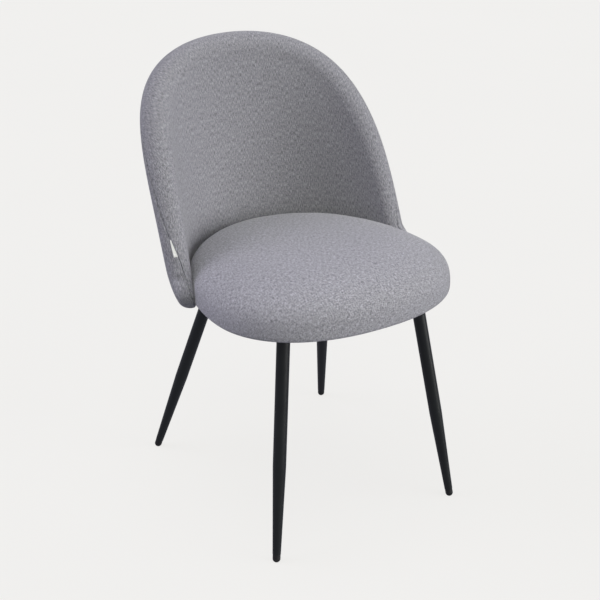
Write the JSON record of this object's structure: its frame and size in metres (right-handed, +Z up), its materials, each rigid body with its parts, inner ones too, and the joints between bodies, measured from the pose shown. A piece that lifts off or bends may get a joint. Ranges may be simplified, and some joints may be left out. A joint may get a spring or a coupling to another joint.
{
  "type": "upholstered dining chair",
  "caption": "Dining chair with a padded oval seat, a rounded wrap-around upholstered back and splayed tapered metal legs",
  "frame": {"origin": "on the floor, under the middle of the chair's bounding box", "axes": "+Z up, the sitter faces -Y, +X is to the right in front view from behind the chair, x = 0 is the mirror plane"},
  "size_m": [0.4736, 0.5153, 0.7694],
  "materials": {
    "woven_cover": "light grey melange weave",
    "foam": "open-cell upholstery foam",
    "plywood": "bare plywood",
    "black_metal": "satin black powder coat",
    "black_plastic": "moulded black",
    "dust_cloth": "black non-woven cloth",
    "bare_steel": "zinc plated",
    "label_ribbon": "blank white ribbon"
  },
  "bodies": {
    "root": {"seat_board": "plywood", "seat_foam": "foam", "seat_cover": "woven_cover", "dust_cover": "dust_cloth", "dust_cover_staples": "bare_steel", "leg_front_left": "black_metal", "leg_front_right": "black_metal", "leg_rear_left": "black_metal", "leg_rear_right": "black_metal", "leg_plate_front_left": "black_metal", "leg_plate_front_right": "black_metal", "leg_plate_rear_left": "black_metal", "leg_plate_rear_right": "black_metal", "foot_glide_front_left": "black_plastic", "foot_glide_front_right": "black_plastic", "foot_glide_rear_left": "black_plastic", "foot_glide_rear_right": "black_plastic", "leg_welds": "black_metal", "leg_bolts": "bare_steel", "leg_tee_nuts": "bare_steel", "back_panel": "plywood", "back_foam_front": "foam", "back_foam_rear": "foam", "back_cover_front": "woven_cover", "back_cover_rear": "woven_cover", "back_bracket_left": "black_metal", "back_bracket_right": "black_metal", "bracket_seat_bolts": "bare_steel", "bracket_seat_tee_nuts": "bare_steel", "bracket_back_bolts": "bare_steel", "bracket_back_tee_nuts": "bare_steel", "label_tag": "label_ribbon"}
  },
  "joints": []
}
